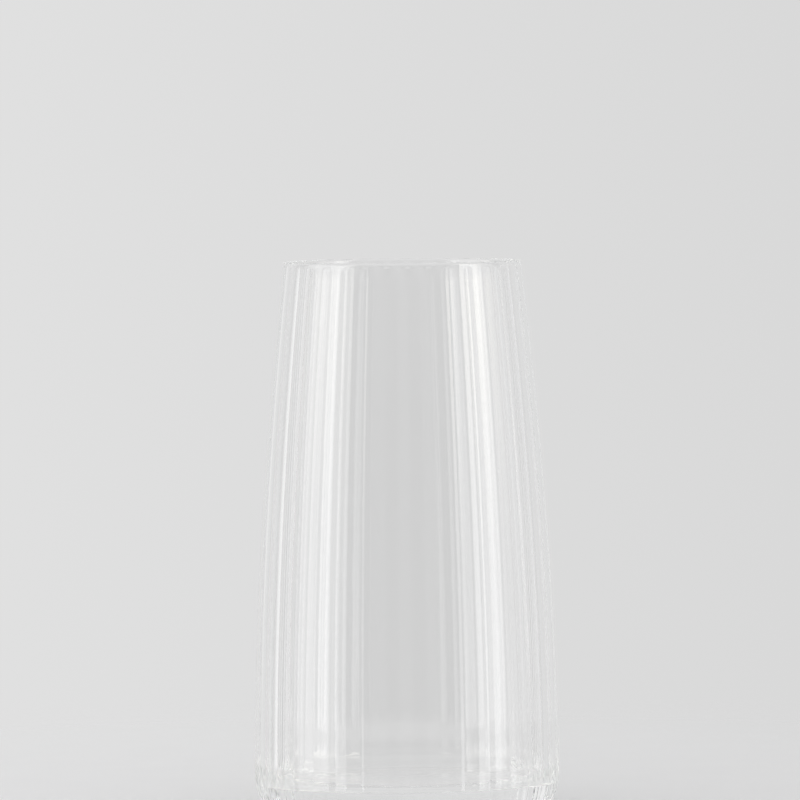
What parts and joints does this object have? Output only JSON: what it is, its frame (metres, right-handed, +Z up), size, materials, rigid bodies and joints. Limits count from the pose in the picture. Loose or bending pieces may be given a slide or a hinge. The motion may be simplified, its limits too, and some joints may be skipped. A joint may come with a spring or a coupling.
{
  "type": "ribbed chai glass",
  "caption": "Tall clear chai glass with shallow upright ribs, a full belly that draws in to a rounded lip, a thick base and a flat ring to stand on.",
  "frame": {"origin": "centre of the flat ring that the glass stands on, at the table", "axes": "+Z up along the axis of the glass, towards the lip; a rib crest lies on +X and on -Y"},
  "size_m": [0.073, 0.073, 0.133],
  "materials": {
    "clear_glass": "clear, smooth, fire-polished lip"
  },
  "bodies": {
    "root": {"glass": "clear_glass"}
  },
  "joints": []
}
